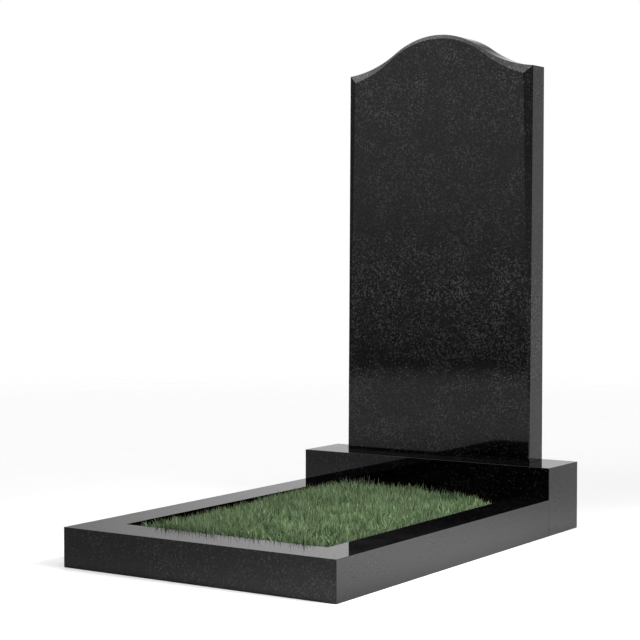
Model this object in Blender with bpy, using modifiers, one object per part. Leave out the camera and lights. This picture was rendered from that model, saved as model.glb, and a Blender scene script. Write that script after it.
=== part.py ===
"""Black granite headstone set: an upright tablet on a plinth, with a kerbed planting bed in front.

Metres, +Z up. The set stands on the ground at z = 0, X runs across it and the tablet's polished
face looks towards -Y. The origin is the middle of the set's footprint.
"""
import math

import bmesh
import bpy

# Tablet
tablet_width = 0.450
tablet_thickness = 0.060
shoulder_height = 0.830     # plinth's top to the tablet's corners
crest_rise = 0.077          # corners to the crown of the ogee
hollow_ratio = 1.44         # radius of the ogee's hollow arcs over its crown's
shoulder_slope = math.radians(5.4)     # slope where the outline reaches the corner

# Chamfer round the tablet's face, which tapers away down the two sides
side_chamfer = 0.0186       # width at the corners
foot_chamfer = 0.0012       # width at the foot
crown_chamfer = 0.0082      # width at the crown
corner_drop = 0.0160        # face's corner below the tablet's corner
face_hollow_ratio = 1.51
face_shoulder_slope = math.radians(15.7)
chamfer_fall = 0.42         # depth gained for each unit of the chamfer's width

# Plinth, with its ledges round the tablet
plinth_height = 0.140
front_ledge = 0.060
back_ledge = 0.015
side_ledge = 0.075

# Kerb rails and the bed inside them
bed_length = 0.800          # plinth's front face to the kerb's front face
kerb_height = 0.075
side_rail_width = 0.075
front_rail_width = 0.088

# Turf in the bed
turf_below_kerb = 0.027     # kerb's top to the turf's edge
turf_crown = 0.010          # how much higher the turf stands in the middle
turf_cells = 10             # cells along each side of the turf's block

# Fits and edges
joint_gap = 0.0003          # between stones that touch
arris = 0.0010              # flat ground along a stone's sharp edges
ogee_segments = 72

# Plan: the set's footprint is centred on the origin
set_width = tablet_width + 2 * side_ledge
plinth_depth = front_ledge + tablet_thickness + back_ledge
kerb_front = -(bed_length + plinth_depth) / 2
plinth_front = kerb_front + bed_length
tablet_face = plinth_front + front_ledge
tablet_foot = plinth_height + joint_gap


class Ogee:
    """An outline that falls from a crown at x = 0 to a hollow shoulder on either side.

    A crown arc and a hollow arc meet at the outline's steepest slope. Together they span the half
    width and fall by the rise. The steepest slope is found by halving the interval it lies in.
    """

    def __init__(self, half_width, rise, hollow_ratio, end_slope):
        low, high = end_slope, math.pi / 2
        for _ in range(50):
            slope = (low + high) / 2
            span = math.sin(slope) + hollow_ratio * (math.sin(slope) - math.sin(end_slope))
            drop = 1 - math.cos(slope) + hollow_ratio * (math.cos(end_slope) - math.cos(slope))
            if drop / span < rise / half_width:
                low = slope
            else:
                high = slope
        self.slope = slope
        self.crown_radius = half_width / span
        self.hollow_radius = hollow_ratio * self.crown_radius
        self.meeting = self.crown_radius * math.sin(slope)

    def sine(self, x):
        """Sine of the outline's slope at a distance x from the crown."""
        if abs(x) <= self.meeting:
            return abs(x) / self.crown_radius
        return math.sin(self.slope) - (abs(x) - self.meeting) / self.hollow_radius

    def cosine(self, x):
        return math.sqrt(1 - self.sine(x) ** 2)

    def fall(self, x):
        """Depth of the outline below its crown."""
        if abs(x) <= self.meeting:
            return self.crown_radius * (1 - self.cosine(x))
        crown_drop = self.crown_radius * (1 - math.cos(self.slope))
        return crown_drop + self.hollow_radius * (self.cosine(x) - math.cos(self.slope))


def clear_scene():
    for thing in list(bpy.data.objects):
        bpy.data.objects.remove(thing, do_unlink=True)


def new_collection(name):
    collection = bpy.data.collections.new(name)
    bpy.context.scene.collection.children.link(collection)
    return collection


def make_material(name, colour, roughness):
    material = bpy.data.materials.new(name)
    material.use_nodes = True
    shader = material.node_tree.nodes["Principled BSDF"]
    shader.inputs["Base Color"].default_value = (*colour, 1.0)
    shader.inputs["Roughness"].default_value = roughness
    shader.inputs["Metallic"].default_value = 0.0
    return material


def add_object(name, bm, collection, material, location=(0, 0, 0)):
    bmesh.ops.recalc_face_normals(bm, faces=bm.faces)
    mesh = bpy.data.meshes.new(name)
    bm.to_mesh(mesh)
    bm.free()
    mesh.materials.append(material)
    thing = bpy.data.objects.new(name, mesh)
    thing.location = location
    collection.objects.link(thing)
    return thing


def grind_edges(thing):
    """Takes the sharp edge off a stone with a narrow flat, as a mason does before polishing."""
    bevel = thing.modifiers.new("arris", "BEVEL")
    bevel.width = arris
    bevel.segments = 1
    bevel.limit_method = "ANGLE"
    bevel.angle_limit = math.radians(40)


def make_plinth(collection, material):
    """The plinth: a cube stretched to its size in the mesh, set down by its location."""
    bm = bmesh.new()
    bmesh.ops.create_cube(bm, size=1.0)
    bmesh.ops.scale(bm, vec=(set_width, plinth_depth, plinth_height), verts=bm.verts)
    centre = (0, plinth_front + plinth_depth / 2, plinth_height / 2)
    grind_edges(add_object("plinth", bm, collection, material, centre))


def tablet_rings():
    """Three outlines with as many points each, from the left foot over the top to the right foot.

    They are the face's edge, the chamfer's outer edge and the back's edge. Along the top the
    chamfer's depth follows its width square to the outline, and down the sides both run straight
    from the corner to the foot.
    """
    half = tablet_width / 2
    face_half = half - side_chamfer
    face_rise = crest_rise - crown_chamfer + corner_drop
    outer_ogee = Ogee(half, crest_rise, hollow_ratio, shoulder_slope)
    face_ogee = Ogee(face_half, face_rise, face_hollow_ratio, face_shoulder_slope)
    crown = tablet_foot + shoulder_height + crest_rise
    tablet_back = tablet_face + tablet_thickness
    face, edge, rear = [], [], []
    for k in range(ogee_segments + 1):
        share = 2 * k / ogee_segments - 1
        x = share * half
        z = crown - outer_ogee.fall(x)
        width = (crown_chamfer + face_ogee.fall(x) - outer_ogee.fall(x)) * outer_ogee.cosine(x)
        face_z = crown - crown_chamfer - face_ogee.fall(share * face_half)
        face.append((share * face_half, tablet_face, face_z))
        edge.append((x, tablet_face + chamfer_fall * width, z))
        rear.append((x, tablet_back, z))
    foot_edge = tablet_face + chamfer_fall * foot_chamfer
    for side, place in ((-1, 0), (1, len(face) + 1)):
        face.insert(place, (side * (half - foot_chamfer), tablet_face, tablet_foot))
        edge.insert(place, (side * half, foot_edge, tablet_foot))
        rear.insert(place, (side * half, tablet_back, tablet_foot))
    return face, edge, rear


def make_tablet(collection, material):
    """The tablet, lofted through its three outlines and closed by a face, a back and a foot."""
    bm = bmesh.new()
    rings = [[bm.verts.new(point) for point in ring] for ring in tablet_rings()]
    for near, far in zip(rings, rings[1:]):
        for k in range(len(near) - 1):
            bm.faces.new((near[k], near[k + 1], far[k + 1], far[k]))
    bm.faces.new(rings[0])
    bm.faces.new(rings[-1])
    bm.faces.new([ring[0] for ring in rings] + [ring[-1] for ring in reversed(rings)])
    add_object("tablet", bm, collection, material)


def make_rail(name, plan, collection, material):
    """A kerb rail: its outline in plan, raised from the ground to the kerb's height."""
    bm = bmesh.new()
    base = bm.faces.new([bm.verts.new((x, y, 0.0)) for x, y in plan])
    raised = bmesh.ops.extrude_face_region(bm, geom=[base])["geom"]
    top = [item for item in raised if isinstance(item, bmesh.types.BMVert)]
    bmesh.ops.translate(bm, vec=(0, 0, kerb_height), verts=top)
    grind_edges(add_object(name, bm, collection, material))


def make_kerb(collection, material):
    """Two side rails that butt against the plinth, mitred at the front to the front rail.

    A mitre runs from the set's corner to the bed's corner, and each stone keeps half the joint's
    gap off it.
    """
    half = set_width / 2
    inner = half - side_rail_width
    inner_front = kerb_front + front_rail_width
    back = plinth_front - joint_gap
    mitre = math.hypot(side_rail_width, front_rail_width)
    rail_gap = joint_gap / 2 * mitre / side_rail_width
    front_gap = joint_gap / 2 * mitre / front_rail_width
    for side, name in ((-1, "kerb_left"), (1, "kerb_right")):
        make_rail(name, [
            (side * half, kerb_front + rail_gap),
            (side * half, back),
            (side * inner, back),
            (side * inner, inner_front + rail_gap),
        ], collection, material)
    make_rail("kerb_front", [
        (-half + front_gap, kerb_front),
        (half - front_gap, kerb_front),
        (inner - front_gap, inner_front),
        (-inner + front_gap, inner_front),
    ], collection, material)


def make_turf(collection, material):
    """The sod in the bed: a block on the ground whose top swells a little towards the middle."""
    width = set_width - 2 * side_rail_width - 2 * joint_gap
    length = bed_length - front_rail_width - 2 * joint_gap
    middle = (kerb_front + front_rail_width + plinth_front) / 2
    bm = bmesh.new()
    bmesh.ops.create_cube(bm, size=1.0)
    bmesh.ops.subdivide_edges(bm, edges=bm.edges, cuts=turf_cells - 1, use_grid_fill=True)
    for vert in bm.verts:
        across, along, up = vert.co
        swell = turf_crown * (1 - (2 * across) ** 2) * (1 - (2 * along) ** 2)
        top = kerb_height - turf_below_kerb + swell
        vert.co = (across * width, along * length, (up + 0.5) * top)
    add_object("turf", bm, collection, material, (0, middle, 0))


def main():
    clear_scene()
    headstone = new_collection("headstone")
    make_plinth(headstone, make_material("plinth_granite", (0.012, 0.012, 0.013), 0.06))
    make_tablet(headstone, make_material("tablet_granite", (0.012, 0.012, 0.013), 0.05))
    make_kerb(headstone, make_material("kerb_granite", (0.013, 0.013, 0.014), 0.07))
    make_turf(headstone, make_material("sod", (0.06, 0.13, 0.03), 0.9))


main()
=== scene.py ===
# %% [markdown]
# # A polished black granite headstone set
#
# An upright tablet with an ogee top stands on a plinth. Three kerb rails in front of it hold a bed
# of short grass. The CAD model is loaded first as a fixed frame: it says where each stone is, and
# this lesson gives the stones their ground edges, their polish and flecks, and the bed its grass.

# %% Load the frame
import math

import bpy
import numpy as np
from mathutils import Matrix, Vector


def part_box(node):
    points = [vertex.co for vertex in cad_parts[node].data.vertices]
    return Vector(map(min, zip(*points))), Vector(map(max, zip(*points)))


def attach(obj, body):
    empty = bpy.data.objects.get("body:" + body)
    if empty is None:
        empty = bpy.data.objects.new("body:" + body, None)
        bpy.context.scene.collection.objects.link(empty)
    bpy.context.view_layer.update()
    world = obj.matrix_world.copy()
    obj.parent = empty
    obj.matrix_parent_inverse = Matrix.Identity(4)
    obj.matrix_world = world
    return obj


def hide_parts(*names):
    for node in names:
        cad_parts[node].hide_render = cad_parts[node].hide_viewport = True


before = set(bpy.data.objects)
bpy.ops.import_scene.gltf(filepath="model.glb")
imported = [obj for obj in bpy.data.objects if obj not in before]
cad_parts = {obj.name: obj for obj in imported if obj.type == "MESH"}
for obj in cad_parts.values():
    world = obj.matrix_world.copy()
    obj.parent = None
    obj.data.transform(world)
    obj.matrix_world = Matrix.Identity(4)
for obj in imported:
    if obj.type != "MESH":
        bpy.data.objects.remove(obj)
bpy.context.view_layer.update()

# %% [markdown]
# ## Wires that do sums
#
# A material is a graph of nodes. Written out by hand, one product takes four lines, so a small
# class wraps a node's output and lets Python's own operators add the Math nodes. Everything else,
# from noise to shaders, comes from one method that takes a node's type, its settings and inputs.


# %% A socket that can be added, multiplied and compared
class Wire:
    """The output of a node. Arithmetic on it adds Math nodes to the same graph."""

    def __init__(self, graph, socket):
        self.graph = graph
        self.socket = socket

    def maths(self, operation, *values):
        return self.graph.node("ShaderNodeMath", {"operation": operation}, dict(enumerate(values)))

    def __add__(self, other):
        return self.maths("ADD", self, other)

    def __radd__(self, other):
        return self.maths("ADD", other, self)

    def __sub__(self, other):
        return self.maths("SUBTRACT", self, other)

    def __rsub__(self, other):
        return self.maths("SUBTRACT", other, self)

    def __mul__(self, other):
        return self.maths("MULTIPLY", self, other)

    def __rmul__(self, other):
        return self.maths("MULTIPLY", other, self)

    def __pow__(self, power):
        return self.maths("POWER", self, power)

    def __gt__(self, limit):
        return self.maths("GREATER_THAN", self, limit)

    def positive(self):
        return self.maths("MAXIMUM", self, 0.0)

    def grade(self, least, more):
        """The number least where the wire is 0, and more added to it where the wire is 1."""
        return self * more + least

    def ramp(self, low, high):
        """A smooth step from 0 at low to 1 at high, or the other way round if low is the larger."""
        ends = (low, high, 0.0, 1.0) if low < high else (high, low, 1.0, 0.0)
        settings = {"interpolation_type": "SMOOTHSTEP"}
        return self.graph.node("ShaderNodeMapRange", settings, {0: self, **dict(enumerate(ends, 1))})


# %% A graph that is filled from expressions
class Graph:
    """A node tree, with one method that adds any node and a few short forms of it."""

    def __init__(self, tree):
        self.tree = tree
        tree.nodes.clear()

    def node(self, kind, settings=None, inputs=None, output=0):
        """Adds a node: settings first, then each input by name or number, as a value or a Wire."""
        made = self.tree.nodes.new(kind)
        for name, value in (settings or {}).items():
            setattr(made, name, value)
        for name, value in (inputs or {}).items():
            if isinstance(value, Wire):
                self.tree.links.new(value.socket, made.inputs[name])
            else:
                made.inputs[name].default_value = value
        return Wire(self, made.outputs[output]) if made.outputs else None

    def blend(self, factor, first, second):
        """A colour between first, at factor 0, and second, at factor 1."""
        settings = {"data_type": "RGBA"}
        return self.node("ShaderNodeMix", settings, {0: factor, 6: first, 7: second}, output=2)

    def noise(self, place, scale, detail=3.0, roughness=0.5):
        inputs = {"Vector": place, "Scale": scale, "Detail": detail, "Roughness": roughness}
        return self.node("ShaderNodeTexNoise", {}, inputs)

    def dot(self, vector, direction):
        settings = {"operation": "DOT_PRODUCT"}
        return self.node("ShaderNodeVectorMath", settings, {0: vector, 1: direction}, output="Value")

    def length(self, vector):
        settings = {"operation": "LENGTH"}
        return self.node("ShaderNodeVectorMath", settings, {0: vector}, output="Value")

    def part(self, vector, axis):
        return self.node("ShaderNodeSeparateXYZ", {}, {0: vector}, output=axis)

    def place(self):
        """Object coordinates, in metres."""
        return self.node("ShaderNodeTexCoord", {}, {}, output="Object")

    def surface(self, shader):
        self.node("ShaderNodeOutputMaterial", {}, {"Surface": shader})


def new_material(name):
    material = bpy.data.materials.new(name)
    material.use_nodes = True
    return material, Graph(material.node_tree)


def grey(value):
    return (value, value, value, 1.0)


# %% [markdown]
# ## The granite
#
# The stone is a fine, nearly black gabbro, sold as black granite. Its body is almost black: most of
# what the eye sees is the polish, which mirrors the room, weakly on the faces seen head on and
# strongly on the kerb's tops, which are seen at a low angle. So the ground mass is a Principled
# shader with a black base and a low index of refraction, and the room gives it its tones.
#
# Grey feldspar crystals about two millimetres across lie in it. They are as well polished and mirror
# several times as much light, so they shine where the stone mirrors something pale and all but
# vanish where it mirrors something dark. A metallic shader does that, mixed in by a mask. Dull
# grains of mica, which mirror next to nothing, are a third shader and make the dark spots.
#
# Crystals are cells, so Voronoi cells make the bright ones: each cell has a random number, and only
# cells with a high one are lit. A fine noise adds a mottle of faint ones. A slow noise gathers all
# of them in clouds, and the tablet has a richer belt below its middle and a richer crown. The
# pattern reads Object coordinates in metres, so a fleck has its true size, and each stone has its
# own shift, so that no fleck runs on across a joint.
#
# The height decides two more things: the underside is sawn and dull grey, and a thin grey film lies on the
# tops of plinth and kerb, thickest at the plinth's left end and along the kerb's front and thinning out to
# the right and to the back. The film is grey from every side, so the ledge before the tablet isn't quite
# black, though all that it mirrors is.

# %% Sizes of the minerals, and how the clouds gather them
FLECK_CELL = 0.0031
MOTTLE_SIZE = 0.0034
GRAIN_SIZE = 0.0029
CLOUD_SIZE = 0.060
CLOUD_EDGE = (0.38, 0.64)
CELL_LIT = (0.97, 1.03)
CELL_RIM = (0.62, 0.28)
CELL_WEIGHT = 0.46
MOTTLE_EDGE = (0.47, 0.70)
GRAIN_EDGE = (0.44, 0.62)
BELT_FOOT = (0.27, 0.42)
BELT_HEAD = (0.65, 0.45)
CROWN_RANGE = (0.76, 0.94)
CROWN_RICHNESS = 0.22
# The least there is, away from the clouds or the belt, and how much more there is in them
CELLS_IN_CLOUDS = (0.07, 0.20)
MOTTLE_IN_CLOUDS = (0.25, 0.42)
MICA_IN_CLOUDS = (0.05, 0.22)
MICA_IN_BELT = (0.75, 1.2)
FILM_IN_CLOUDS = (0.65, 0.7)
print("crystal cells", FLECK_CELL * 1000, "mm, clouds", CLOUD_SIZE * 1000, "mm")


# %% Crystal cells, and masks for all the minerals
def flecks(graph, place, cell, share):
    """Light crystals: cells of one size, of which a share is lit, brightest in their middles."""
    inputs = {"Vector": place, "Scale": 1 / cell}
    distance = graph.node("ShaderNodeTexVoronoi", {}, inputs)
    colour = graph.node("ShaderNodeTexVoronoi", {}, inputs, output="Color")
    number = graph.node("ShaderNodeSeparateColor", {}, {0: colour})
    return (number + share).ramp(*CELL_LIT) * distance.ramp(*CELL_RIM)


def minerals(graph, own, up, richness, belt):
    """Masks for the clouds, the crystals, the mottle, and all that is light and all that is dull.

    Light is crystals and mottle times the richness, which belt raises between the belt's heights.
    """
    clouds = graph.noise(own, 1 / CLOUD_SIZE, detail=4.0, roughness=0.65).ramp(*CLOUD_EDGE)
    crystals = flecks(graph, own, FLECK_CELL, clouds.grade(*CELLS_IN_CLOUDS))
    mottle = graph.noise(own, 1 / MOTTLE_SIZE, detail=2.0, roughness=0.6)
    crossing = up.ramp(*BELT_FOOT) * up.ramp(*BELT_HEAD)
    rich = crossing * belt + up.ramp(*CROWN_RANGE) * CROWN_RICHNESS + richness
    light = (crystals * CELL_WEIGHT + mottle.ramp(*MOTTLE_EDGE) * clouds.grade(*MOTTLE_IN_CLOUDS)) * rich
    grain = graph.noise(own, 1 / GRAIN_SIZE, detail=2.0, roughness=0.6)
    dull = grain.ramp(*GRAIN_EDGE) * clouds.grade(*MICA_IN_CLOUDS)
    return clouds, crystals * rich, mottle, light, dull * (crossing * belt).grade(*MICA_IN_BELT)


# %% Tones, polish and the sawn underside
BLACK = grey(0.0003)
FELDSPAR = grey(0.018)
FILM_GREY = grey(0.008)
SAWN_TONES = (grey(0.05), grey(0.13))
POLISH = 0.030
SAWN_ROUGHNESS = 0.55
STONE_IOR = 1.34
MICA_ROUGHNESS = 0.6
MICA_IOR = 1.05
CRYSTAL_REFLECTANCE = 0.132
CRYSTAL_ROUGHNESS = 0.045
CRYSTAL_COVER = 0.6
WAVES_IN_A_METRE = 11.0
WAVE_HEIGHT = 0.00001
SAWN_END = np.array([0.00012, 0.00004])
FILM_START = np.array([-0.0006, -0.0001])
ABOVE_ALL = 10.0
print("the polish mirrors", round(((STONE_IOR - 1) / (STONE_IOR + 1)) ** 2 * 100, 1), "% head on")


# %% The granite's material
def granite(name, shift, foot, richness, belt=0.0, film_top=ABOVE_ALL, film_spread=(0.0, 0.0, 0.0)):
    """Polished black granite, with flecks of a given richness and sawn below the height foot.

    From the height film_top up a thin grey film shows: film_spread gives how much more there is of it a metre
    to the right and a metre to the back, and how much there is at the set's middle.
    """
    material, graph = new_material(name)
    place = graph.place()
    up = graph.part(place, "Z")
    own = graph.node("ShaderNodeVectorMath", {"operation": "ADD"}, {0: place, 1: shift})
    clouds, crystals, mottle, light, dull = minerals(graph, own, up, richness, belt)
    sawn = up.ramp(*(foot + SAWN_END).tolist())
    film = (graph.dot(place, (film_spread[0], film_spread[1], 0.0)) + film_spread[2]).ramp(0.0, 1.0)
    film = up.ramp(*(film_top + FILM_START).tolist()) * film * clouds.grade(*FILM_IN_CLOUDS)
    polished = graph.blend(film, graph.blend(crystals, BLACK, FELDSPAR), FILM_GREY)
    colour = graph.blend(sawn, polished, graph.blend(mottle, *SAWN_TONES))
    waves = graph.noise(own, WAVES_IN_A_METRE, detail=2.0)
    bump = graph.node("ShaderNodeBump", {}, {"Strength": 1.0, "Distance": WAVE_HEIGHT, "Height": waves})
    ground_mass = graph.node("ShaderNodeBsdfPrincipled", {}, {
        "Base Color": colour, "Roughness": sawn * SAWN_ROUGHNESS + POLISH, "IOR": STONE_IOR, "Normal": bump})
    mica = graph.node("ShaderNodeBsdfPrincipled", {}, {
        "Base Color": BLACK, "Roughness": MICA_ROUGHNESS, "IOR": MICA_IOR})
    crystal = graph.node("ShaderNodeBsdfPrincipled", {}, {
        "Base Color": grey(CRYSTAL_REFLECTANCE), "Metallic": 1.0, "Roughness": CRYSTAL_ROUGHNESS,
        "Normal": bump})
    dark = graph.node("ShaderNodeMixShader", {}, {0: dull * (1.0 - sawn), 1: ground_mass, 2: mica})
    cover = light * (1.0 - sawn) * CRYSTAL_COVER
    graph.surface(graph.node("ShaderNodeMixShader", {}, {0: cover, 1: dark, 2: crystal}))
    print(name, "has", len(graph.tree.nodes), "nodes")
    return material


# %% [markdown]
# ## Folding an edge
#
# A mason grinds every sharp edge of a polished stone to a small round. A Bevel modifier could do
# that, but it would have to guess at the mitres and at the chamfer. Here one small function does
# it across an edge and at the corner of an outline: a quadratic curve leaves one side a short
# reach before the corner and joins the other as far after it. A held point on either side keeps
# the flats truly flat, so that a mirror finish on them shows no bulge.

# %% The fold, and the way inwards from an outline
FOLD_STEPS = 5


def towards(start, end):
    """Unit vectors from start to end."""
    step = end - start
    return step / np.linalg.norm(step, axis=-1, keepdims=True)


def fold(before, corner, after, reach, hold):
    """Points that round a corner between two sides, stacked along a new first axis.

    With a the point a reach before the corner c and b the point a reach after it, the round is
    (1-t)^2 a + 2t(1-t) c + t^2 b for t from 0 to 1. One held point lies beyond each end.
    """
    back = towards(corner, before)
    on = towards(corner, after)
    t = np.linspace(0, 1, FOLD_STEPS + 1).reshape((-1,) + (1,) * np.ndim(corner))
    curve = corner + reach * ((1 - t) ** 2 * back + t ** 2 * on)
    ends = corner + (reach + hold) * np.stack([back, on])
    return np.concatenate([ends[:1], curve, ends[1:]])


def inwards(loop, axis):
    """Vectors that move a closed outline's points straight in, mitred at its corners.

    They are the sum of the two neighbouring sides' normals over one plus their product, so that
    a step along them moves both sides by that step.
    """
    along = towards(loop, np.roll(loop, -1, axis=0))
    normal = np.cross(axis, along)
    area = np.dot(np.cross(loop, np.roll(loop, -1, axis=0)).sum(axis=0), axis)
    normal = normal * math.copysign(1, area)
    before = np.roll(normal, 1, axis=0)
    return (normal + before) / (1 + (normal * before).sum(axis=1, keepdims=True))


# %% Skin a stack of closed rings
def add_mesh(name, points, faces):
    mesh = bpy.data.meshes.new(name)
    mesh.from_pydata(points.tolist(), [], faces)
    mesh.validate()
    mesh.update()
    mesh.shade_smooth()
    piece = bpy.data.objects.new(name, mesh)
    bpy.context.scene.collection.objects.link(piece)
    return piece


def skin(name, rings):
    """A closed solid through rings of shape (ring, point, 3), capped flat at the first and last.

    The signed volume of the rings' strips says which way round the faces have to run.
    """
    count, around = rings.shape[:2]
    first = np.arange((count - 1) * around).reshape(count - 1, around)
    beside = np.roll(first, -1, axis=1)
    quads = np.stack([first, beside, beside + around, first + around], axis=-1).reshape(-1, 4)
    caps = [np.arange(around)[::-1].tolist(), (np.arange(around) + (count - 1) * around).tolist()]
    points = rings.reshape(-1, 3)
    centred = points - points.mean(axis=0)
    corners = centred[quads]
    normals = np.cross(corners[:, 2] - corners[:, 0], corners[:, 3] - corners[:, 1])
    if (normals * corners.mean(axis=1)).sum() < 0:
        quads = quads[:, ::-1]
        caps = [cap[::-1] for cap in caps]
    return add_mesh(name, points, quads.tolist() + caps)


def dress(piece, material, slot, *nodes):
    """Gives a piece its finish and its place in the frame."""
    piece.data.materials.append(material)
    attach(piece, "root")
    if nodes:
        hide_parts(*nodes)
    print(piece.name, len(piece.data.vertices), "points,", len(piece.data.polygons), "faces")


# %% [markdown]
# ## Plinth and kerb
#
# These are plain blocks of granite, sawn, ground and polished. The front rail meets the side rails
# in mitres, so no end grain of a joint shows on the front. Each is an outline in plan carried up a
# profile that starts under the stone, folds round the lower edge, climbs the side and folds over
# the upper edge. The CAD boxes give the sizes, and the mitre runs from corner to corner. An edge
# along a joint is hardly ground at all, so the joint shows as a hairline and not as a groove.

# %% A block with ground edges
ARRIS = 0.00035
UPRIGHT_ARRIS = 1.6 * ARRIS
HOLD = 0.0004
UP = np.array([0.0, 0.0, 1.0])


def block(name, plan, height, ground):
    """A block over a plan outline: each point moves in by the profile's inset and up it.

    ground holds a factor for each side, from its corner on: 1 for a free edge, less along a joint.
    """
    corners = np.column_stack([plan, np.zeros(len(plan))])
    rounds = fold(np.roll(corners, 1, axis=0), corners, np.roll(corners, -1, axis=0), UPRIGHT_ARRIS, HOLD)
    loop = rounds.transpose(1, 0, 2).reshape(-1, 3)
    turned = np.linspace(0, 1, len(rounds))
    factor = (np.roll(ground, 1)[:, None] * (1 - turned) + np.array(ground)[:, None] * turned).ravel()
    foot = fold(np.array([1.0, 0]), np.array([0.0, 0]), np.array([0.0, 1]), ARRIS, HOLD)
    head = fold(np.array([0.0, 0]), np.array([0.0, height]), np.array([1.0, height]), ARRIS, HOLD)
    profile = np.concatenate([foot, head])
    inset, rise = profile[:, 0], profile[:, 1]
    across = inset[:, None, None] * factor[:, None] * inwards(loop, UP)
    return skin(name, loop + across + rise[:, None, None] * UP)


# %% Measure the plinth and the rails in the frame
plinth_low, plinth_high = (np.array(corner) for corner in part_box("plinth"))
rail_low, rail_high = (np.array(corner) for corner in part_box("kerb_right"))
front_low, front_high = (np.array(corner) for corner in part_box("kerb_front"))
half_set = plinth_high[0]
half_bed = rail_low[0]
kerb_height = rail_high[2]
kerb_front = front_low[1]
bed_front = front_high[1]
rail_back = rail_high[1]
joint_gap = plinth_low[1] - rail_back
print("joint gap", round(joint_gap * 1000, 2), "mm, kerb", round(kerb_height * 1000, 1), "mm high")

# %% Plans of the plinth and the three rails
MITRE_GAP = 0.00002
JOINT = 0.02
FREE_ALL_ROUND = (1.0, 1.0, 1.0, 1.0)
JOINTED_ENDS = (1.0, JOINT, 1.0, JOINT)
rail_width = half_set - half_bed
front_width = bed_front - kerb_front
mitre = math.hypot(rail_width, front_width)
rail_gap = MITRE_GAP / 2 * mitre / rail_width
front_gap = MITRE_GAP / 2 * mitre / front_width


def rail_plan(side):
    """A side rail's outline, from its mitre's outer corner: side is -1 on the left, 1 on the right."""
    return [
        (side * half_set, kerb_front + rail_gap), (side * half_set, rail_back),
        (side * half_bed, rail_back), (side * half_bed, bed_front + rail_gap)]


plans = {
    "plinth": [
        (-half_set, plinth_low[1]), (half_set, plinth_low[1]),
        (half_set, plinth_high[1]), (-half_set, plinth_high[1])],
    "kerb_front": [
        (front_gap - half_set, kerb_front), (half_set - front_gap, kerb_front),
        (half_bed - front_gap, bed_front), (front_gap - half_bed, bed_front)],
    "kerb_left": rail_plan(-1),
    "kerb_right": rail_plan(1)}
print("mitre", round(mitre * 1000, 1), "mm long")

# %% Make the four blocks, with a fading grey film on their tops
BLOCK_RICHNESS = 0.48
PLINTH_FILM = (-1.70, 0.0, 0.48)
KERB_FILM = (0.0, -1.0, 0.12)
shifts = {
    "plinth": (0.31, 0.0, 0.17), "kerb_front": (1.7, 0.4, 0.0),
    "kerb_left": (3.1, 0.9, 0.2), "kerb_right": (5.3, 0.1, 0.6)}
for name, plan in plans.items():
    is_plinth = name == "plinth"
    height = plinth_high[2] if is_plinth else kerb_height
    stone = block(name + "_stone", np.array(plan), height, FREE_ALL_ROUND if is_plinth else JOINTED_ENDS)
    finish = granite(
        name + "_granite", shifts[name], 0.0, BLOCK_RICHNESS,
        film_top=height, film_spread=PLINTH_FILM if is_plinth else KERB_FILM)
    dress(stone, finish, "plinth_granite" if is_plinth else "kerb_granite", name)

# %% [markdown]
# ## The tablet
#
# The top is an ogee: a round crown that turns over into a hollow on each side. The face inside the
# chamfer has an ogee of its own, a little steeper, so the chamfer is broad at the corners and slim
# at the crown, and down the sides it tapers to almost nothing at the foot. The solid is carried
# through three outlines, the face's edge, the chamfer's outer edge and the back's edge, with a
# fold at each. The heights and widths are the CAD model's own values.

# %% The ogee
CREST_RISE = 0.077
SIDE_CHAMFER = 0.0186
FOOT_CHAMFER = 0.0012
CROWN_CHAMFER = 0.0082
CORNER_DROP = 0.0160
CHAMFER_FALL = 0.42
# Hollow radius over crown radius, and the slope at the corner
OUTER_TOP = (1.44, math.radians(5.4))
FACE_TOP = (1.51, math.radians(15.7))
OGEE_POINTS = 181
HALVINGS = 50


class Ogee:
    """A crown arc and a hollow arc that meet at the steepest slope and together span half a width.

    The slope at which they meet is found by halving: a steeper one falls further for its span.
    """

    def __init__(self, half_width, rise, hollow_ratio, end_slope):
        low, high = end_slope, math.pi / 2
        for _ in range(HALVINGS):
            slope = (low + high) / 2
            span = math.sin(slope) + hollow_ratio * (math.sin(slope) - math.sin(end_slope))
            drop = 1 - math.cos(slope) + hollow_ratio * (math.cos(end_slope) - math.cos(slope))
            low, high = (slope, high) if drop / span < rise / half_width else (low, slope)
        self.slope = slope
        self.crown_radius = half_width / span
        self.hollow_radius = hollow_ratio * self.crown_radius
        self.meeting = self.crown_radius * math.sin(slope)

    def cosine(self, x):
        """Cosine of the outline's slope: its sine grows evenly to the meeting, then shrinks."""
        past = np.maximum(abs(x) - self.meeting, 0)
        sine = np.minimum(abs(x), self.meeting) / self.crown_radius - past / self.hollow_radius
        return np.sqrt(1 - sine ** 2)

    def fall(self, x):
        """Depth below the crown: the crown arc's part, and past the meeting the hollow arc's."""
        crown = self.crown_radius * (1 - self.cosine(np.minimum(abs(x), self.meeting)))
        hollow = self.hollow_radius * (self.cosine(x) - math.cos(self.slope))
        return crown + np.where(abs(x) > self.meeting, hollow, 0)


# %% The ogee of the outline and the ogee of the face
tablet_low, tablet_high = (np.array(corner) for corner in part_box("tablet"))
half_tablet = tablet_high[0]
half_face = half_tablet - SIDE_CHAMFER
outer_ogee = Ogee(half_tablet, CREST_RISE, *OUTER_TOP)
face_ogee = Ogee(half_face, CREST_RISE - CROWN_CHAMFER + CORNER_DROP, *FACE_TOP)
print("crown radius", round(outer_ogee.crown_radius, 4), "hollow", round(outer_ogee.hollow_radius, 4))

# %% Three outlines of the tablet
FACE_CORNER = 0.0004


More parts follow.
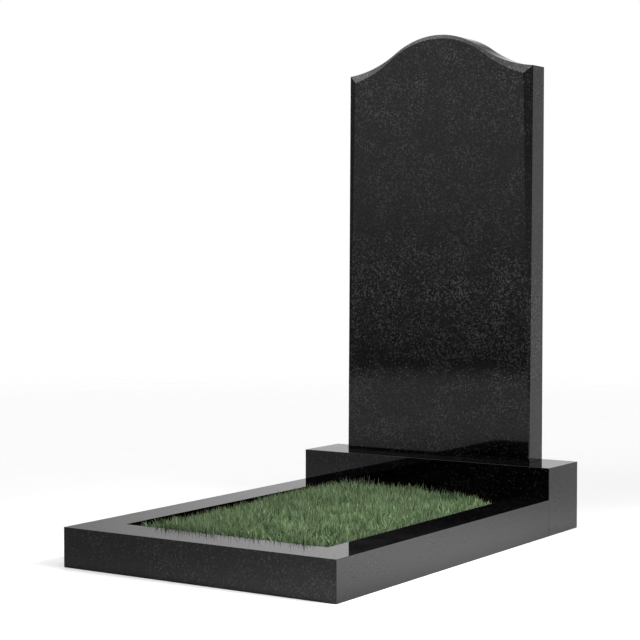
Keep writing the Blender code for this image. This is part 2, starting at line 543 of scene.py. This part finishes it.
def tablet_loop(half, foot_half, top, depth, foot_depth, reach):
    """A closed outline: left foot, the top from left to right, right foot, with rounded corners.

    top and depth are the height and the place in Y of the points along the top.
    """
    ridge = np.column_stack([np.linspace(-1, 1, len(top)) * half, depth, top])
    feet = np.array([[-foot_half, foot_depth, tablet_low[2]], [foot_half, foot_depth, tablet_low[2]]])
    loop = np.concatenate([feet[:1], ridge, feet[1:]])
    corner = [0, 1, len(loop) - 2, len(loop) - 1]
    before = loop[[-1, 0, len(loop) - 3, len(loop) - 2]]
    after = loop[[1, 2, len(loop) - 1, 0]]
    rounds = fold(before, loop[corner], after, reach, HOLD).transpose(1, 0, 2)
    return np.concatenate([rounds[0], rounds[1], loop[2:-2], rounds[2], rounds[3]])


share = np.linspace(-1, 1, OGEE_POINTS)
crown = tablet_high[2]
across = share * half_tablet
outer_top = crown - outer_ogee.fall(across)
width = CROWN_CHAMFER + face_ogee.fall(across) - outer_ogee.fall(across)
chamfer_depth = tablet_low[1] + CHAMFER_FALL * width * outer_ogee.cosine(across)
face_top = crown - CROWN_CHAMFER - face_ogee.fall(share * half_face)
front = np.full(OGEE_POINTS, tablet_low[1])
back = np.full(OGEE_POINTS, tablet_high[1])
foot_edge = tablet_low[1] + CHAMFER_FALL * FOOT_CHAMFER
face_loop = tablet_loop(half_face, half_tablet - FOOT_CHAMFER, face_top, front, front[0], FACE_CORNER)
edge_loop = tablet_loop(half_tablet, half_tablet, outer_top, chamfer_depth, foot_edge, ARRIS)
back_loop = tablet_loop(half_tablet, half_tablet, outer_top, back, back[0], ARRIS)
print("chamfer", round(width[0] * 1000, 1), "mm at the corner,", round(width.min() * 1000, 1), "at the crown")

# %% Fold the three outlines into the tablet
FACE_FOLD = 0.00025
CHAMFER_FOLD = 0.0007
FINE_HOLD = 0.0001
TABLET_SHIFT = (7.9, 2.2, 1.1)
TABLET_RICHNESS = 0.62
BELT_RICHNESS = 1.7
BACKWARDS = np.array([0.0, 1, 0])
inside_face = face_loop + inwards(face_loop, BACKWARDS)
inside_back = back_loop + inwards(back_loop, BACKWARDS)
tablet = skin("tablet_stone", np.concatenate([
    fold(inside_face, face_loop, edge_loop, FACE_FOLD, FINE_HOLD),
    fold(face_loop, edge_loop, back_loop, CHAMFER_FOLD, FINE_HOLD),
    fold(edge_loop, back_loop, inside_back, ARRIS, HOLD)]))
tablet_finish = granite("tablet_granite", TABLET_SHIFT, tablet_low[2], TABLET_RICHNESS, belt=BELT_RICHNESS)
dress(tablet, tablet_finish, "tablet_granite", "tablet")

# %% [markdown]
# ## Soil
#
# The bed is filled with dark soil that swells a little towards the middle. It hardly shows under
# the grass, but light that gets between the blades has to meet something crumbly and dark. It is
# a stack of rings: up the block's side, then in towards the middle, each a smaller copy of the
# bed's outline lifted by the swell and by a few crossing waves for the crumbs.

# %% The soil's surface
TURF_CROWN = 0.010
CRUMB_HEIGHT = 0.0008
LUMP_HEIGHT = 0.001
WALL_FADE = 0.3
# Wave numbers in radians a metre, with the bend of the crumbs' rows and the lumps' phase
CRUMB_ROWS = ((211, 3, 97), (187, 2, 131))
LUMP_ROWS = ((61, 1.3), (53, 0.4))
turf_low, turf_high = (np.array(corner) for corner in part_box("turf"))
turf_middle = (turf_low + turf_high) / 2
turf_half = (turf_high - turf_low) / 2
turf_edge = turf_high[2] - TURF_CROWN


def bent_rows(along, aside, number, bend, bend_number):
    """Sine waves of a wave number along one way, bent sideways by a second sine wave."""
    return np.sin(number * along + bend * np.sin(bend_number * aside))


def soil_height(x, y):
    """Height of the soil: the swell of two parabolas, plus crossing waves that fade at the walls."""
    across = (x - turf_middle[0]) / turf_half[0]
    along = (y - turf_middle[1]) / turf_half[1]
    swell = (1 - across ** 2) * (1 - along ** 2)
    crumbs = bent_rows(x, y, *CRUMB_ROWS[0]) * bent_rows(y, x, *CRUMB_ROWS[1])
    lumps = np.sin(LUMP_ROWS[0][0] * x + LUMP_ROWS[0][1]) * np.sin(LUMP_ROWS[1][0] * y + LUMP_ROWS[1][1])
    return turf_edge + TURF_CROWN * swell + (CRUMB_HEIGHT * crumbs + LUMP_HEIGHT * lumps) * swell ** WALL_FADE


# %% The soil block
POINTS_A_SIDE = 48
SOIL_RINGS = 60
LAST_RING = 0.02


def soil_block():
    """Rings round the bed: one on the ground, then the outline shrunk in even steps to the middle."""
    side = np.linspace(-1, 1, POINTS_A_SIDE + 1)[:-1]
    one = np.ones_like(side)
    square = np.concatenate([
        np.column_stack([side, -one]), np.column_stack([one, side]),
        np.column_stack([-side, one]), np.column_stack([-one, -side])])
    outline = turf_middle[:2] + square * turf_half[:2]
    ground = np.column_stack([outline, np.zeros(len(outline))])
    shrink = np.linspace(1, LAST_RING, SOIL_RINGS)[:, None, None]
    inner = turf_middle[:2] + shrink * (outline - turf_middle[:2])
    height = soil_height(inner[..., 0], inner[..., 1])
    surface = np.concatenate([inner, height[..., None]], axis=-1)
    return skin("soil", np.concatenate([ground[None], surface]))


# %% The soil's finish: dark crumbs with patches of moss
CRUMBS_IN_A_METRE = 420.0
PATCHES_IN_A_METRE = 28.0
CRUMB_EDGE = (0.35, 0.68)
PATCH_EDGE = (0.5, 0.7)
MOSS_COVER = 0.6
CRUMB_BUMP = 0.0012
SOIL_ROUGHNESS = 0.95
WET_SOIL = (0.006, 0.005, 0.003, 1)
DRY_SOIL = (0.035, 0.026, 0.015, 1)
MOSS = (0.014, 0.024, 0.008, 1)


def soil_material():
    material, graph = new_material("dark_soil")
    place = graph.place()
    crumbs = graph.noise(place, CRUMBS_IN_A_METRE, detail=5.0, roughness=0.7)
    patches = graph.noise(place, PATCHES_IN_A_METRE)
    colour = graph.blend(crumbs.ramp(*CRUMB_EDGE), WET_SOIL, DRY_SOIL)
    colour = graph.blend(patches.ramp(*PATCH_EDGE) * MOSS_COVER, colour, MOSS)
    bump = graph.node("ShaderNodeBump", {}, {"Strength": 1.0, "Distance": CRUMB_BUMP, "Height": crumbs})
    graph.surface(graph.node("ShaderNodeBsdfPrincipled", {}, {
        "Base Color": colour, "Roughness": SOIL_ROUGHNESS, "Normal": bump}))
    return material


dress(soil_block(), soil_material(), "turf", "turf")

# %% [markdown]
# ## Grass
#
# Short lawn grass fills the bed: thousands of blades a millimetre or two wide and up to about four
# centimetres long, highest in the middle of the bed and lower along the rails. Grass grows in
# tufts whose blades fan out from a common foot and share a tint, which gives the lawn its light
# and dark spots. Between them lies a thatch of short, flat, straw-coloured ones.
#
# Particles would not reach an exported model, so the blades are mesh. All of them are worked out
# at once: a blade is a ribbon along a leaning parabola, with three pairs of points and a tip, and
# the whole lawn is one array of shape (blade, point, 3). A colour attribute keeps each blade's own
# tint and the height along it, which the material reads.

# %% Where each blade roots
BLADES = 56000
TUFTS = 1900
TUFT_SPREAD = 0.0095
WALL_CLEARANCE = 0.004
SEED = 20
chance = np.random.default_rng(SEED)
room = turf_half[:2] - WALL_CLEARANCE
tuft = chance.integers(0, TUFTS, BLADES)
tuft_place = room * chance.uniform(-1, 1, (TUFTS, 2))
tuft_tint = chance.normal(size=TUFTS)
tuft_size = chance.normal(size=TUFTS)
spread = TUFT_SPREAD * chance.normal(size=(BLADES, 2))
placed = tuft_place[tuft] + spread
# A blade that would root beyond the wall is folded back into the bed
root = turf_middle[:2] + room * (abs((placed / room - 1) % 4 - 2) - 1)
x, y = root.T
print(BLADES, "blades in", TUFTS, "tufts")

# %% Soft steps and slow waves over the bed
WANDER_WAVES = ((37, 19), (-23, 71), (53, 61))


def smooth_step(x):
    """3x^2 - 2x^3, held at 0 below 0 and at 1 above 1."""
    x = np.clip(x, 0, 1)
    return x * x * (3 - 2 * x)


def wander(x, y, phase):
    """A slow field between about -1 and 1: the mean of three crossing sine waves."""
    waves = [
        np.sin(along_x * x + along_y * y + number * phase)
        for number, (along_x, along_y) in enumerate(WANDER_WAVES, 1)]
    return sum(waves) / len(waves)


# %% How tall each blade is
LAWN_HEIGHT = 0.069
MIDDLE_RISE = 0.018
MIDDLE_REACH = 0.080
# Metres that the tips rise by, and along x and along y where that begins and over what length
SLOPES = (
    (-0.013, (-0.03, 0.22), (0.02, 0.28)),
    (-0.010, (0.13, 0.08), (0.26, 0.06)),
    (0.007, (-0.10, -0.08), (-0.15, 0.25)),
    (0.006, (-1.0, 0.1), (turf_low[1] + 0.05, -0.05)))
HEIGHT_PHASE = 0.7
WANDER_RISE = 0.002
TUFT_RISE = 0.0035
BLADE_RISE = 0.002
ROOT_DEPTH = 0.001
SHORTEST = 0.007
THATCH_SHARE = 0.22
THATCH_LENGTH = (0.008, 0.010)
LENGTH_RANGE = (0.50, 1.05)
tip_height = LAWN_HEIGHT + MIDDLE_RISE * smooth_step((turf_half[0] - abs(x - turf_middle[0])) / MIDDLE_REACH)
for rise, (start_x, over_x), (start_y, over_y) in SLOPES:
    tip_height += rise * smooth_step((x - start_x) / over_x) * smooth_step((y - start_y) / over_y)
tip_height += WANDER_RISE * wander(x, y, HEIGHT_PHASE) + TUFT_RISE * tuft_size[tuft]
tip_height += BLADE_RISE * chance.normal(size=BLADES)
floor_height = soil_height(x, y) - ROOT_DEPTH
thatch = chance.random(BLADES) < THATCH_SHARE
thatch_length = THATCH_LENGTH[0] + THATCH_LENGTH[1] * chance.random(BLADES)
length = np.maximum(tip_height - floor_height, SHORTEST) * chance.uniform(*LENGTH_RANGE, BLADES)
length = np.where(thatch, thatch_length, length)
print("blade lengths", np.round(np.percentile(length, [1, 50, 99]) * 1000, 1), "mm")

# %% Which way and how far each blade leans
THATCH_LEAN = (0.6, 1.5)
BLADE_LEAN = (0.12, 0.32)
FAN_SPREAD = 0.9
WALL_GAP = 0.001
OVER_KERB = 0.004
FREE_REACH = 1.0
turn = chance.uniform(0, 2 * np.pi, BLADES)
heading = np.arctan2(spread[:, 1], spread[:, 0]) + chance.normal(0, FAN_SPREAD, BLADES)
thatch_lean = chance.uniform(*THATCH_LEAN, BLADES)
lean = np.where(thatch, thatch_lean, abs(chance.normal(*BLADE_LEAN, BLADES)))
sideways = np.column_stack([np.cos(heading), np.sin(heading)]) * (lean * length)[:, None]
# No blade leans through a wall: its reach ends at the bed's edge, unless it is tall enough to lean
# over the front rail
outward = np.sign(root - turf_middle[:2]) * sideways > 0
over_front = (sideways[:, 1] < 0) & (floor_height + length > kerb_height + OVER_KERB)
limit = np.where(outward, turf_half[:2] - WALL_GAP - abs(root - turf_middle[:2]), FREE_REACH)
limit[over_front, 1] = FREE_REACH
sideways = np.clip(sideways, -limit, limit)
print(int(over_front.sum()), "blades may lean over the front rail")

# %% Ribbons along leaning parabolas
BLADE_LEVELS = np.array([0.0, 0.38, 0.74])
BLADE_POINTS = 7
HALF_WIDTHS = (0.0005, 0.0012)
THATCH_WIDTH = 0.8
TAPER = 0.8
SPENT_ON_LEAN = 0.45
MOST_SPENT = 0.6
half_width = chance.uniform(*HALF_WIDTHS, BLADES) * np.where(thatch, THATCH_WIDTH, 1.0)


def blade_points():
    """Points of shape (blade, 7, 3): root + up * length * s + sideways * s^2, half a width either side.

    The width shrinks with s^2, and a blade that leans far is lowered by the length it spends.
    """
    s = BLADE_LEVELS
    drop = np.minimum(SPENT_ON_LEAN * np.linalg.norm(sideways, axis=1), MOST_SPENT * length)
    rise = length[:, None] * s - drop[:, None] * s ** 2
    middle = np.concatenate([
        root[:, None, :] + sideways[:, None, :] * (s ** 2)[:, None],
        (floor_height[:, None] + rise)[..., None]], axis=-1)
    across = np.column_stack([np.cos(turn), np.sin(turn), np.zeros(BLADES)])
    offset = across[:, None, :] * (half_width[:, None] * (1 - TAPER * s ** 2))[..., None]
    tip = np.column_stack([root + sideways, floor_height + length - drop])
    return np.concatenate([middle - offset, middle + offset, tip[:, None, :]], axis=1)


blades = blade_points()
print("blade widths", np.round(np.percentile(half_width * 2, [1, 99]) * 1000, 1), "mm")

# %% Green with painted shade at the root, and pale at the tip
BLADE_ROUGHNESS = 0.55
BLADE_SPECULAR = 0.35
# The darkest and the lightest tint of each part
FRESH = ((0.018, 0.047, 0.011, 1), (0.103, 0.174, 0.069, 1))
# The root tints are painted shade, for the shade low in the lawn
PAINTED_ROOT_SHADE = ((0.006, 0.014, 0.004, 1), (0.018, 0.036, 0.012, 1))
STRAW = ((0.034, 0.038, 0.016, 1), (0.115, 0.120, 0.052, 1))
PALE_TIP = (0.215, 0.195, 0.150, 1)
GREEN_FROM = (0.05, 0.75)
TIP_FROM = (0.75, 1.0)
TIP_PALENESS = 0.50
STRAW_SHARE = 0.55


def grass_material():
    material, graph = new_material("lawn_grass")
    attribute = graph.node("ShaderNodeAttribute", {"attribute_name": "blade"}, {}, output="Color")
    tint, level, straw = (
        graph.node("ShaderNodeSeparateColor", {}, {0: attribute}, output=channel)
        for channel in ("Red", "Green", "Blue"))
    green = graph.blend(level.ramp(*GREEN_FROM), graph.blend(tint, *PAINTED_ROOT_SHADE), graph.blend(tint, *FRESH))
    pale = graph.blend(level.ramp(*TIP_FROM) * TIP_PALENESS, green, PALE_TIP)
    colour = graph.blend(straw * STRAW_SHARE, pale, graph.blend(tint, *STRAW))
    graph.surface(graph.node("ShaderNodeBsdfPrincipled", {}, {
        "Base Color": colour, "Roughness": BLADE_ROUGHNESS, "Specular IOR Level": BLADE_SPECULAR}))
    return material


# %% [markdown]
# ## Three strips of lawn
#
# The lawn is cut across into three pieces, so that none has more than 200,000 triangles. The cut also serves
# the mirrors. The front rail's polished top mirrors the blades that lean over it, but the plinth and the
# tablet, seen from here, mirror no grass at all and stay black. So only the front strip, a hand's width
# deep, shows in mirrors, and the other two are left out of mirrored light.

# %% One strip as a mesh
BLADE_FACES = [(0, 3, 4, 1), (1, 4, 5, 2), (2, 5, 6)]


def lawn(name, chosen, tint, material):
    """One strip of the lawn: every chosen blade repeats the same three faces."""
    start = BLADE_POINTS * np.arange(len(chosen))
    faces = [face for corners in BLADE_FACES for face in (start[:, None] + np.array(corners)).tolist()]
    piece = add_mesh(name, blades[chosen].reshape(-1, 3), faces)
    colours = np.ones((len(chosen), BLADE_POINTS, 4), dtype=np.float32)
    colours[..., 0] = tint[chosen, None]
    colours[..., 1] = np.concatenate([BLADE_LEVELS, BLADE_LEVELS, [1.0]])
    colours[..., 2] = thatch[chosen, None]
    attribute = piece.data.color_attributes.new("blade", "FLOAT_COLOR", "POINT")
    attribute.data.foreach_set("color", colours.ravel())
    dress(piece, material, "turf")
    return piece


# %% Tint the blades and make the strips
FRONT_STRIP = 0.08
BACK_STRIP = 0.04
TINT_PHASE = 4.0
MEAN_TINT = 0.45
WANDER_TINT = 0.15
TUFT_TINT = 0.27
BLADE_TINT = 0.24
EDGE_SHADE = 0.42
SHADE_WIDTH = 0.055
tint = MEAN_TINT + WANDER_TINT * wander(x, y, TINT_PHASE) + TUFT_TINT * tuft_tint[tuft]
tint += BLADE_TINT * chance.normal(size=BLADES)
# Blades near the rails are tinted darker: painted shade, for the shade that the rails cast on the lawn.
edge = np.min(room - abs(root - turf_middle[:2]), axis=1)
tint = np.clip(tint - EDGE_SHADE * (1 - smooth_step(edge / SHADE_WIDTH)), 0, 1)
grass = grass_material()
strip = np.digitize(y, [turf_low[1] + FRONT_STRIP, turf_middle[1] + BACK_STRIP])
for number, name in enumerate(("grass_front", "grass_middle", "grass_back")):
    piece = lawn(name, np.flatnonzero(strip == number), tint, grass)
    piece.visible_glossy = number == 0

# %% [markdown]
# ## Floor
#
# The set stands on a pale round floor that fades out a few metres away. The polished face mirrors
# that end as a soft step in its tone about a fifth of the way up.

# %% A pale disc that fades at its rim
FLOOR_RADIUS = 4.8
FADE_START = 3.1
RIM_POINTS = 192
FLOOR_TONES = (grey(0.46), grey(0.48))
FLOOR_CLOUDS = 9.0
STAGE_ROUGHNESS = 0.9


def disc(name, radius, fade_start, tone_of, specular, strength=1.0):
    """A flat disc whose tone is a function of the graph and whose alpha fades out to its rim."""
    around = np.linspace(0, 2 * np.pi, RIM_POINTS + 1)[:-1]
    points = np.column_stack([np.cos(around), np.sin(around), np.zeros_like(around)]) * radius
    made = add_mesh(name, points, [list(range(RIM_POINTS))])
    material, graph = new_material(name)
    graph.surface(graph.node("ShaderNodeBsdfPrincipled", {}, {
        "Base Color": tone_of(graph), "Roughness": STAGE_ROUGHNESS, "Specular IOR Level": specular,
        "Alpha": graph.length(graph.place()).ramp(radius, fade_start) * strength}))
    made.data.materials.append(material)
    print(name, "radius", radius, "m")
    return made


def floor_tone(graph):
    return graph.blend(graph.noise(graph.place(), FLOOR_CLOUDS, detail=5.0), *FLOOR_TONES)


floor = disc("floor", FLOOR_RADIUS, FADE_START, floor_tone, specular=0.1)

# %% [markdown]
# ## Painted shade on the floor
#
# A faint dark disc with a soft rim lies on the floor in front of the set on the left: painted shade on the
# floor. Only mirrored light sees it: it paints a shade into what the front rail mirrors, so the rail grows
# darker towards its left end.

# %% The painted floor shade, out of the camera's sight
PAINTED_SHADE_RADIUS = 0.88
PAINTED_SHADE_CORE = 0.05
PAINTED_SHADE_STRENGTH = 0.41
PAINTED_SHADE_GREY = 0.01
PAINTED_SHADE_PLACE = (-0.50, -0.62, 0.0004)


def painted_shade_tone(graph):
    return grey(PAINTED_SHADE_GREY)


painted_shade_disc = disc("painted_floor_shade", PAINTED_SHADE_RADIUS, PAINTED_SHADE_CORE, painted_shade_tone, specular=0.0, strength=PAINTED_SHADE_STRENGTH)
painted_shade_disc.location = PAINTED_SHADE_PLACE
painted_shade_disc.visible_camera = False
painted_shade_disc.visible_diffuse = False
painted_shade_disc.visible_shadow = False

# %% [markdown]
# ## Light
#
# Black polished stone shows the room more than it shows itself, so the light is a soft room all
# round, set by what each side of the stone mirrors. Lamps alone would leave the stone black with
# a few hard spots. The room is a sum of soft patches, each a dot product with a direction raised
# to a power, or a ramp on the way the light comes from.
#
# In front it grows paler with height and sinks into dark below the horizon, for the face, and a
# low fill to the right of that is what the right chamfer mirrors. Overhead it is bright, for the
# chamfer along the top. Behind, it is even on the right, for the stones' right sides, and sinks to
# the left, for the kerb's tops. The left is dark, which keeps the left chamfer black. A stone that
# is itself seen in a stone is nearly black, so all but the light from behind is dimmed once it was
# mirrored twice.

# %% The room in front
FRONT_WAY = (-0.342, -0.940, 0.0)
FRONT_NARROWNESS = 3.4
HORIZON = (-0.115, 0.055)
FRONT_LEVEL = 0.79
FRONT_CLIMB = 2.2
FILL_WAY = (0.300, -0.954, 0.0)
FILL_NARROWNESS = 10.0
FILL_HEIGHTS = (0.13, -0.02)
FILL_STRENGTH = 0.28
world = bpy.data.worlds.new("soft_studio")
bpy.context.scene.world = world
world.use_nodes = True
studio = Graph(world.node_tree)
looking = studio.node("ShaderNodeTexCoord", {}, {}, output="Generated")
height = studio.part(looking, "Z")
rightwards = studio.part(looking, "X")
away = studio.part(looking, "Y")
glow = studio.dot(looking, FRONT_WAY).positive() ** FRONT_NARROWNESS
ahead = glow * (height.ramp(*HORIZON) * FRONT_LEVEL + height.positive() * FRONT_CLIMB)
fill = studio.dot(looking, FILL_WAY).positive() ** FILL_NARROWNESS
fill = fill * height.ramp(*FILL_HEIGHTS) * FILL_STRENGTH
print("front and fill take", len(studio.tree.nodes), "nodes")

# %% The room behind and overhead
BEHIND_FROM = (-0.1, 0.3)
BEHIND_LEFT_END = (-0.80, -0.48)
BEHIND_HEIGHTS = (0.50, 0.10)
BEHIND_STRENGTH = 0.80
RIGHT_SIDE = (0.0, 0.3)
RIGHT_DIP_HEIGHTS = (0.02, 0.12)
RIGHT_DIP = 0.16
LIFT_HEIGHTS = (0.13, 0.20)
LIFT = 0.30
OVERHEAD_HEIGHTS = (0.40, 0.80)
OVERHEAD_STRENGTH = 2.5
SOFTBOX_WAY = (-0.62, -0.45, 0.64)
SOFTBOX_NARROWNESS = 12.0
SOFTBOX_STRENGTH = 2.4
behind = away.ramp(*BEHIND_FROM) * rightwards.ramp(*BEHIND_LEFT_END) * height.ramp(*BEHIND_HEIGHTS)
behind = behind * BEHIND_STRENGTH
behind = behind * (1.0 - rightwards.ramp(*RIGHT_SIDE) * height.ramp(*RIGHT_DIP_HEIGHTS) * RIGHT_DIP)
behind = behind * (1.0 + height.ramp(*LIFT_HEIGHTS) * LIFT)
overhead = height.ramp(*OVERHEAD_HEIGHTS) * OVERHEAD_STRENGTH
softbox = studio.dot(looking, SOFTBOX_WAY).positive() ** SOFTBOX_NARROWNESS * SOFTBOX_STRENGTH

# %% The sum, dimmed after two mirrors, and white where the camera looks past the set
AMBIENT = 0.09
ONE_MIRROR = 1.5
TWICE_MIRRORED_LOSS = 0.9
bounces = studio.node("ShaderNodeLightPath", {}, {}, output="Glossy Depth")
dimming = 1.0 - (bounces > ONE_MIRROR) * TWICE_MIRRORED_LOSS
strength = (ahead + fill + overhead + softbox + AMBIENT) * dimming + behind
lit = studio.node("ShaderNodeBackground", {}, {"Color": grey(1.0), "Strength": strength})
seen = studio.node("ShaderNodeBackground", {}, {"Color": grey(1.0), "Strength": 1.0})
eye = studio.node("ShaderNodeLightPath", {}, {}, output="Is Camera Ray")
mixed = studio.node("ShaderNodeMixShader", {}, {0: eye, 1: lit, 2: seen})
studio.node("ShaderNodeOutputWorld", {}, {"Surface": mixed})
print("the room has", len(studio.tree.nodes), "nodes")

# %% [markdown]
# ## Lamp
#
# The kerb's right side mirrors the floor beside it. A soft round lamp above that floor makes it
# paler there, and gives the set a faint contact shadow.

# %% A soft lamp on the right
LAMP_PLACE = (1.25, -0.15, 1.2)
LAMP_TARGET = (0.65, -0.15, 0.0)
LAMP_SIZE = 0.9
LAMP_POWER = 17.0
LAMP_SPREAD = math.radians(75)


def aim(staged, direction):
    """Turns a lamp or a camera to look along a direction, with its top up."""
    staged.rotation_euler = Vector(direction).to_track_quat("-Z", "Y").to_euler()


lamp = bpy.data.lights.new("soft_lamp", "AREA")
lamp.shape = "DISK"
lamp.size = LAMP_SIZE
lamp.energy = LAMP_POWER
lamp.spread = LAMP_SPREAD
lamp_object = bpy.data.objects.new("soft_lamp", lamp)
lamp_object.location = LAMP_PLACE
lamp_object.visible_camera = False
aim(lamp_object, np.array(LAMP_TARGET) - np.array(LAMP_PLACE))
bpy.context.scene.collection.objects.link(lamp_object)
print("lamp", lamp.energy, "W")

# %% [markdown]
# ## Camera
#
# A long lens, level with the tablet's middle and to the right of the bed's axis. Its place, aim
# and focal length were fitted to the stones' corners in the photograph.

# %% The camera
FOCAL_PIXELS = 1711.8
FRAME_PIXELS = 640
SENSOR_WIDTH = 36.0
CAMERA_PLACE = (1.8286, -2.8296, 0.5915)
CAMERA_AIM = (-0.55086, 0.83351, -0.04248)
camera = bpy.data.cameras.new("camera")
camera.sensor_width = SENSOR_WIDTH
camera.lens = FOCAL_PIXELS / FRAME_PIXELS * SENSOR_WIDTH
camera_object = bpy.data.objects.new("camera", camera)
camera_object.location = CAMERA_PLACE
aim(camera_object, CAMERA_AIM)
bpy.context.scene.collection.objects.link(camera_object)
bpy.context.scene.camera = camera_object
bpy.context.scene.view_settings.view_transform = "Standard"
print("lens", round(camera.lens, 2), "mm")
